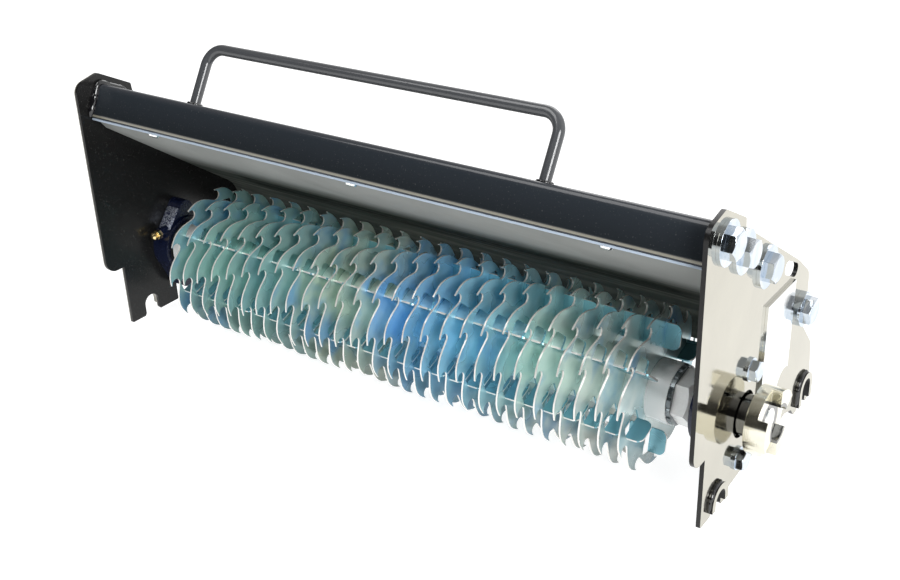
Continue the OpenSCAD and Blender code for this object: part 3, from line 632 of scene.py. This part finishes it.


# The discs' faces take their tint from the place along the rotor, pushed about by noise, with two
# kinds of patches over it, the blue ones a painted reflection, and painted shade makes them darker
# towards the bottom. Tabs have one darker tint, painted shade, and cut edges are pale, dimmer
# towards the top of the rotor by painted shade.
def bladeFinish():
    look = bladeLook
    material, tree, shader = startMaterial("bladeZinc")
    spot = objectSpot(tree, (-1500, 0))
    x, _, height = splitSpot(tree, spot, (-1300, 200))
    drift = noiseOver(tree, spot, where=(-1300, 0), **look["drift"])
    cloud = noiseOver(tree, spot, where=(-1300, -250), **look["cloud"])

    share = spread(tree, x, rotorTints["from"], rotorTints["to"], 0.0, 1.0, (-1100, 200))
    push = calc(tree, "SUBTRACT", (-1100, 0), drift, 0.5)
    push = calc(tree, "MULTIPLY", (-950, 0), push, look["driftReach"])
    share = calc(tree, "ADD", (-850, 150), share, push)
    tint = tintBands(tree, share, rotorTints["bands"], (-700, 200))
    patches = spread(tree, cloud, *look["patchRange"], 0.0, look["patchShare"], (-900, -150))
    tint = mixColour(tree, patches, tint, look["patch"], (-500, 200))
    # Painted reflection: blue patches over the discs' tint.
    sky = spread(tree, drift, *look["skyRange"], 0.0, look["skyShare"], (-900, 0))
    tint = mixColour(tree, sky, tint, look["sky"], (-420, 250))
    # Painted shade: the faces grow darker towards the bottom of the rotor.
    heights = [rotorAxis["z"] + offset for offset in look["shadeHeights"]]
    shade = spread(tree, height, *heights, look["shade"], 1.0, (-1100, 400))
    face = mixColour(tree, 1.0, tint, shade, (-350, 300), "MULTIPLY")

    # A tab's free end faces along the axis too, but lies off the discs, so it counts as a cut edge
    facing = placeGroup(tree, facesAlongAxis, (-900, -400), {"Cut": look["faceCut"]})
    along = facing.outputs["Mask"]
    before, after = look["faceDepth"]
    firstFace = rotorAxis["x"] + discStack["first"] + before
    place = calc(tree, "SUBTRACT", (-900, -900), x, firstFace)
    place = calc(tree, "FLOORED_MODULO", (-750, -900), place, discStack["step"])
    offDisc = calc(tree, "GREATER_THAN", (-600, -900), place, after)
    onDisc = calc(tree, "SUBTRACT", (-450, -900), 1.0, offDisc)
    flat = calc(tree, "MULTIPLY", (-300, -900), along, onDisc)
    radius = placeGroup(tree, latheMarks, (-900, -600)).outputs["Radius"]
    rim = calc(tree, "GREATER_THAN", (-600, -500), radius, look["rim"])
    tabEnd = calc(tree, "MULTIPLY", (-450, -700), along, offDisc)
    edge = calc(tree, "MAXIMUM", (-300, -600), rim, tabEnd)
    notFlat = calc(tree, "SUBTRACT", (-150, -700), 1.0, flat)
    edge = calc(tree, "MULTIPLY", (0, -600), edge, notFlat)

    # Painted shade: the cut edges grow dimmer towards the top of the rotor.
    heights = [rotorAxis["z"] + offset for offset in look["edgeHeights"]]
    high = spread(tree, height, *heights, 0.0, 1.0, (-1100, 600))
    edgeTint = mixColour(tree, high, look["edge"], look["highEdge"], (-600, -300))
    # Tabs take their darker tint of painted shade; cut edges take theirs.
    cut = mixColour(tree, edge, look["tab"], edgeTint, (-400, -300))
    wave = noiseOver(tree, spot, where=(-900, -1000), **look["wave"])
    brushed = grainOver(tree, spot, where=(-900, -800), **look["brush"])
    relief = calc(tree, "MULTIPLY_ADD", (-600, -900), wave, look["waveShare"], brushed)
    feed(tree, shader, {
        "Base Color": mixColour(tree, flat, cut, face, (-100, 150)),
        "Roughness": spread(tree, cloud, *look["roughRange"], *look["roughness"], (-600, 0)),
        "Metallic": spread(tree, edge, 0.0, 1.0, look["faceMetal"], look["edgeMetal"], (200, 0)),
        "Normal": bumpFrom(tree, relief, *look["relief"], (200, -300)),
    })
    return material


rubberLook = {
    "colour": (0.015, 0.015, 0.016),
    "dust": (0.08, 0.08, 0.08),
    "markScale": 50.0,
    "dustShare": 0.5,
    "pebble": 1500.0,
    "relief": (0.2, 0.0002),
    "roughness": 0.6,
}


# Matt black rubber with a fine pebble.
def rubberFinish():
    look = rubberLook
    material, tree, shader = startMaterial("sealRubber")
    feeds = {"Scale": look["markScale"], "Dust": look["dustShare"]}
    dust = placeGroup(tree, smudges, (-400, 100), feeds).outputs["Dust"]
    pebble = placeGroup(tree, paintPeel, (-400, -200), {"Scale": look["pebble"]})
    feed(tree, shader, {
        "Base Color": mixColour(tree, dust, look["colour"], look["dust"], (0, 150)),
        "Roughness": look["roughness"],
        "Normal": bumpFrom(tree, pebble.outputs[0], *look["relief"], (200, -200)),
    })
    return material


foilLook = {
    "mottle": {"scale": 800.0, "Detail": 2.0, "Roughness": 0.7},
    "mottleRange": (0.44, 0.58),
    "dark": (0.05, 0.06, 0.13),
    "pale": (0.62, 0.66, 0.76),
    "markScale": 90.0,
    "roughness": (0.28, 0.45),
    "relief": (0.15, 0.0001),
    "metallic": 0.6,
}


# A bare foil label: pale grey with a fine mottle and dulled patches.
def foilFinish():
    look = foilLook
    material, tree, shader = startMaterial("bareLabel")
    mottle = noiseOver(tree, objectSpot(tree, (-900, 0)), where=(-650, 100), **look["mottle"])
    marks = placeGroup(tree, smudges, (-650, -150), {"Scale": look["markScale"]})
    share = spread(tree, mottle, *look["mottleRange"], 0.0, 1.0, (-400, 100))
    feed(tree, shader, {
        "Base Color": mixColour(tree, share, look["dark"], look["pale"], (-150, 150)),
        "Metallic": look["metallic"],
        "Roughness": dulled(tree, marks, look["roughness"], (-150, -100)),
        "Normal": bumpFrom(tree, mottle, *look["relief"], (200, -200)),
    })
    return material


slotFinishes = {
    "black_paint": plateFinish(),
    "beam_paint": beamFinish(),
    "shield_paint": shieldFinish(),
    "handle_paint": paintFinish("handleGrey"),
    "housing_paint": paintFinish("housingNavy"),
    "blade_zinc": bladeFinish(),
    "bright_zinc": metalFinish("zincBright"),
    "bolt_zinc": metalFinish("zincBolt"),
    "turned_steel": metalFinish("turnedSteel"),
    "coupling_steel": metalFinish("couplingSteel"),
    "bearing_steel": metalFinish("bearingSteel"),
    "dark_steel": metalFinish("darkSteel"),
    "nipple_brass": metalFinish("nippleBrass"),
    "seal_rubber": rubberFinish(),
}
weldPaint = paintFinish("weldBlack")
bareFoil = foilFinish()

smoothing = {"joinWithin": 0.000002, "creaseFrom": 28.0}  # metres and degrees


# Each node takes the finish of its slot in the record; a weld and an edge split give it smooth
# curved faces and crisp edges.
def dressNodes():
    for part in frame["record"]["subparts"]:
        node = cadNodes[part["node"]]
        finish = slotFinishes[part["material_slot"]]
        if not node.material_slots:
            node.data.materials.append(finish)
        for slot in node.material_slots:
            slot.material = finish
        node.data.shade_smooth()
        join = node.modifiers.new("join", "WELD")
        join.merge_threshold = smoothing["joinWithin"]
        split = node.modifiers.new("creases", "EDGE_SPLIT")
        split.split_angle = math.radians(smoothing["creaseFrom"])
        split.use_edge_sharp = False


dressNodes()
print("nodes dressed")


def meshFrom(name, places, faces, material):
    mesh = bpy.data.meshes.new(name)
    mesh.from_pydata(places.tolist(), [], faces)
    mesh.update()
    mesh.shade_smooth()
    piece = bpy.data.objects.new(name, mesh)
    bpy.context.scene.collection.objects.link(piece)
    mesh.materials.append(material)
    return piece


# The distance run at each point of a path.
def runOf(path):
    steps = np.linalg.norm(np.diff(path, axis=0), axis=1)
    return np.concatenate([[0.0], np.cumsum(steps)])


# The corners joined by straight runs and cut into equal steps.
def evenPath(corners, spacing):
    corners = np.asarray(corners, float)
    run = runOf(corners)
    places = np.linspace(0, run[-1], max(8, int(run[-1] / spacing)))
    return np.column_stack([np.interp(places, run, column) for column in corners.T])


def arc(middle, radius, first, last, steps=24):
    turn = np.radians(np.linspace(first, last, steps))
    return middle + radius * np.column_stack([np.cos(turn), np.sin(turn)])


beadLook = {
    "around": 14,  # points in a ring
    "lumps": 9,  # places where the bead is thicker or thinner by chance
    "lumpSize": 0.2,
    "body": 0.9,  # the radius between ripples, as a share of the bead's own
    "rippleShape": 0.7,
    "taper": (2.0, 0.03),  # length in radii and how thin the tip gets
}


# A tube along a flat path, whose rings lie square to it. A ring's radius is the bead's own times
# the sum of its body, a slow random lump and a ripple, the power of a sine of the distance run.
# Towards an open bead's ends it shrinks with the square root of the distance to the end.
def beadSurface(path, out, bead, seed, closed=False):
    look = beadLook
    path = np.asarray(path, float)
    count, around = len(path), look["around"]
    if closed:
        ahead = np.roll(path, -1, 0) - np.roll(path, 1, 0)
    else:
        ahead = np.gradient(path, axis=0)
    ahead /= np.linalg.norm(ahead, axis=1)[:, None]
    out = np.asarray(out, float) / np.linalg.norm(out)
    across = np.cross(ahead, out)
    run = runOf(path)
    chance = np.random.default_rng(seed).uniform(-look["lumpSize"], look["lumpSize"], look["lumps"])
    lumps = np.interp(run, np.linspace(0, run[-1], look["lumps"]), chance)
    wave = np.abs(np.sin(math.pi * run / bead["pitch"])) ** look["rippleShape"]
    size = bead["radius"] * (look["body"] + lumps + bead["ripple"] * wave)
    if not closed:
        length, thinnest = look["taper"]
        toEnd = np.minimum(run, run[-1] - run) / (length * bead["radius"])
        size = size * np.sqrt(np.clip(toEnd, thinnest, 1.0))
    turn = np.linspace(0, 2 * math.pi, around, endpoint=False)[None, :, None]
    ring = np.cos(turn) * across[:, None, :] + np.sin(turn) * out
    places = (path[:, None, :] + size[:, None, None] * ring).reshape(-1, 3)
    rows = np.arange(count if closed else count - 1)[:, None]
    spots = np.arange(around)[None, :]
    here, after, beside = rows * around, (rows + 1) % count * around, (spots + 1) % around
    quads = np.stack([here + spots, here + beside, after + beside, after + spots], -1)
    faces = quads.reshape(-1, 4).tolist()
    if not closed:
        faces += [list(range(around))[::-1], list(range((count - 1) * around, count * around))]
    return places, faces


def joinSurfaces(surfaces):
    places, faces, start = [], [], 0
    for spots, loops in surfaces:
        places.append(spots)
        faces += [[index + start for index in loop] for loop in loops]
        start += len(spots)
    return np.concatenate(places), faces


# A bead in a plane beside a plate; the left one's faces are turned round, as it mirrors the right.
def plateBead(side, plane, outline, bead, seed):
    path = np.column_stack([np.full(len(outline), side * plane), outline])
    spots, loops = beadSurface(path, (side, 0, 0), bead, seed)
    return spots, [loop[::side] for loop in loops]


# The beam's own rearward and upward directions, each as its parts to the rear and up.
def beamDirections():
    tilt = math.radians(beamSpot["tilt"])
    rearward = np.array([math.cos(tilt), -math.sin(tilt)])
    upward = np.array([math.sin(tilt), math.cos(tilt)])
    return rearward, upward


beamWelds = {
    "radius": 3.0,
    "pitch": 9.0,
    "ripple": 0.08,
    "offPlate": 0.9,
    "outline": [  # rearward and upward of the beam's middle, round its front, top and back
        (-13.9, -13.5), (-13.9, 10.6), (-12.9, 12.9), (-10.6, 13.9),
        (10.6, 13.9), (12.9, 12.9), (13.9, 10.6), (13.9, 3.0),
    ],
    "spacing": 0.45,
    "seeds": {-1: 4, 1: 9},  # left and right
}


# Beads round the beam where it meets the plates, along its outline in the plates' own plane.
def makeBeamWelds():
    look = beamWelds
    corners = np.array(beamSpot["middle"]) + np.array(look["outline"]) @ np.array(beamDirections())
    outline = evenPath(corners, look["spacing"])
    plane = plateFaces["inner"] - look["offPlate"]
    sides = look["seeds"].items()
    return joinSurfaces([plateBead(side, plane, outline, look, seed) for side, seed in sides])


hookWelds = {
    "radius": 1.5,
    "pitch": 6.5,
    "ripple": 0.22,
    "offPlate": 0.8,
    "slots": ((-34.25, -44.25), (111.0, -37.5)),  # the slots' ends, front and rear
    "reach": 12.05,  # the slot's radius, the collar's width and a little more
    "arc": (66, 180),  # degrees from the rear over the top
    "foot": -47.6,  # how far down the front side the bead runs
    "spacing": 0.42,
    "seed": 20,
}


# A bead in the corner between each hook collar and its plate, over the top and down the front side.
def makeHookWelds():
    look = hookWelds
    plane = plateFaces["outer"] + look["offPlate"]
    surfaces = []
    for side in (-1, 1):
        for index, (y, z) in enumerate(look["slots"]):
            over = arc((y, z), look["reach"], *look["arc"])
            outline = np.concatenate([over, [[y - look["reach"], look["foot"]]]])
            outline = evenPath(outline, look["spacing"])
            seed = look["seed"] + index + side
            surfaces.append(plateBead(side, plane, outline, look, seed))
    return joinSurfaces(surfaces)


handleWelds = {
    "radius": 1.0,
    "pitch": 2.6,
    "ripple": 0.20,
    "feet": (-160.0, 137.0),  # along the axis
    "rearward": -3.5,
    "upward": 13.8,
    "ringRadius": 4.7,
    "steps": 72,
    "seed": 40,
}


# A ring of weld round each foot of the handle, lying on the beam's top face.
def makeHandleWelds():
    look = handleWelds
    rearward, upward = (np.array([0.0, *direction]) for direction in beamDirections())
    foot = np.array([0.0, *beamSpot["middle"]])
    foot = foot + look["rearward"] * rearward + look["upward"] * upward
    along = np.array([1.0, 0.0, 0.0])
    turn = np.linspace(0, 2 * math.pi, look["steps"], endpoint=False)[:, None]
    ring = look["ringRadius"] * (np.cos(turn) * along + np.sin(turn) * rearward)
    surfaces = []
    for index, x in enumerate(look["feet"]):
        path = foot + x * along + ring
        surfaces.append(beadSurface(path, upward, look, look["seed"] + index, closed=True))
    return joinSurfaces(surfaces)


housingLabel = {
    "flat": ((-0.76, 35.32), (-17.59, 15.59)),  # the housing's flat, its upper and lower end
    "outward": (-0.761, 0.649),  # square to the flat
    "down": 13.2,  # the label's middle, down the flat and off the left plate
    "offPlate": 7.2,
    "halfWide": 6.4,
    "halfTall": 10.0,
    "corner": 1.2,
    "thick": 0.25,
    "softening": 0.12,  # how far the front edge draws in
    "softFrom": 0.6,  # share of the thickness where that starts
    "steps": 48,
}


# A thin plate with round corners: rings of one rounded outline, stacked from its back to its
# softened front edge.
def makeLabel():
    look = housingLabel
    high, low = (np.array(end) for end in look["flat"])
    down = (low - high) / np.linalg.norm(low - high)
    middle = high + look["down"] * down
    wide, tall, corner = look["halfWide"], look["halfTall"], look["corner"]
    turn = np.linspace(0, 2 * math.pi, look["steps"], endpoint=False)
    cosine, sine = np.cos(turn), np.sin(turn)
    across = np.sign(cosine) * (wide - corner) + corner * cosine
    along = np.sign(sine) * (tall - corner) + corner * sine
    rings = []
    soft = look["thick"] * look["softFrom"]
    levels = ((0.0, 0.0), (soft, 0.0), (look["thick"], look["softening"]))
    for height, inset in levels:
        x = look["offPlate"] - plateFaces["inner"] + across * (wide - inset) / wide
        shrunk = along * (tall - inset) / tall
        spot = middle + shrunk[:, None] * down + height * np.array(look["outward"])
        rings.append(np.column_stack([x, spot]))
    count = look["steps"]
    index = np.arange(count)
    after = (index + 1) % count
    faces = []
    for level in range(len(levels) - 1):
        base, top = level * count, (level + 1) * count
        faces += np.stack([base + index, base + after, top + after, top + index], 1).tolist()
    faces += [index[::-1].tolist(), (index + 2 * count).tolist()]
    return np.concatenate(rings), faces


# Flips a closed piece whose signed volume comes out negative, so that its faces look outwards.
def turnOutward(piece):
    mesh = piece.data
    mesh.calc_loop_triangles()
    corners = np.empty(len(mesh.loop_triangles) * 3, np.int32)
    mesh.loop_triangles.foreach_get("vertices", corners)
    spots = np.empty(len(mesh.vertices) * 3)
    mesh.vertices.foreach_get("co", spots)
    spots = spots.reshape(-1, 3)
    spots -= spots.mean(0)
    a, b, c = spots[corners.reshape(-1, 3)].transpose(1, 0, 2)
    if np.einsum("ij,ij->", a, np.cross(b - a, c - a)) < 0:
        mesh.flip_normals()


def addWork():
    work = [
        ("beamWelds", makeBeamWelds(), weldPaint, "beam_paint"),
        ("hookWelds", makeHookWelds(), weldPaint, "black_paint"),
        ("handleWelds", makeHandleWelds(), weldPaint, "handle_paint"),
        ("housingLabel", makeLabel(), bareFoil, "bright_zinc"),
    ]
    for name, (places, faces), material, slot in work:
        piece = meshFrom(name, fromAxis(places), faces, material)
        turnOutward(piece)
        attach(piece, "chassis")


addWork()
print("welds and label added")


studio = {
    "floorHalf": 30.0,
    "floorColour": (0.40, 0.40, 0.40),
    "floorRoughness": 0.7,
    "floorGlow": 0.86,
    "sweep": 1.0,
    "sweepFrom": (-0.05, 0.45),  # where the dark room gives way to the sweep
    "sweepTurn": 0.35,  # how far the sweep reaches round to the right
    "ceiling": 0.45,
    "ceilingFrom": (0.55, 0.95),
    "darkSide": 0.035,
    "lamps": [  # name, place, aim, size, watts
        ("keyLamp", (-0.5, -0.7, 1.6), (0.0, 0.0, 0.05), 1.0, 12.0),
        ("rightLamp", (1.3, -0.75, 0.85), (0.1, 0.0, 0.05), 0.7, 22.0),
        ("backLamp", (-0.3, 1.5, 1.3), (0.0, 0.0, 0.1), 1.2, 10.0),
    ],
}


def makeFloor():
    size = studio["floorHalf"]
    corners = [[-size, -size, 0.0], [size, -size, 0.0], [size, size, 0.0], [-size, size, 0.0]]
    material, tree, shader = startMaterial("studioFloor")
    feed(tree, shader, {
        "Base Color": (*studio["floorColour"], 1.0),
        "Roughness": studio["floorRoughness"],
        "Emission Color": (1.0, 1.0, 1.0, 1.0),
        "Emission Strength": studio["floorGlow"],
    })
    floor = meshFrom("studioFloor", np.array(corners), [[0, 1, 2, 3]], material)


# A white sweep behind the object, a dark room on the camera's side and a grey ceiling.
def makeWorld():
    world = bpy.data.worlds.new("studioRoom")
    bpy.context.scene.world = world
    world.use_nodes = True
    tree = world.node_tree
    tree.nodes.clear()
    direction = put(tree, "ShaderNodeTexCoord", (-1100, 0)).outputs["Generated"]
    x, y, z = splitSpot(tree, direction, (-900, 0))
    behind = calc(tree, "MULTIPLY_ADD", (-750, 100), x, studio["sweepTurn"], y)
    walls = (*studio["sweepFrom"], studio["darkSide"], studio["sweep"])
    back = spread(tree, behind, *walls, (-550, 100))
    roof = spread(tree, z, *studio["ceilingFrom"], 0.0, studio["ceiling"], (-550, -150))
    glow = calc(tree, "MAXIMUM", (-350, 0), back, roof)
    feeds = {"Color": (1.0, 1.0, 1.0, 1.0), "Strength": glow}
    sky = put(tree, "ShaderNodeBackground", (-200, 0), feeds)
    put(tree, "ShaderNodeOutputWorld", (0, 0), {0: sky.outputs[0]})


def makeLamps():
    for name, place, aim, size, watts in studio["lamps"]:
        data = bpy.data.lights.new(name, "AREA")
        data.shape = "SQUARE"
        data.size = size
        data.energy = watts
        back = np.array(place) - np.array(aim)
        back /= np.linalg.norm(back)
        right = np.cross([0.0, 0.0, 1.0], back)
        right /= np.linalg.norm(right)
        setOut(bpy.data.objects.new(name, data), right, np.cross(back, right), back, place)


makeFloor()
makeWorld()
makeLamps()
bpy.context.scene.view_settings.view_transform = "Standard"
print("studio lit")
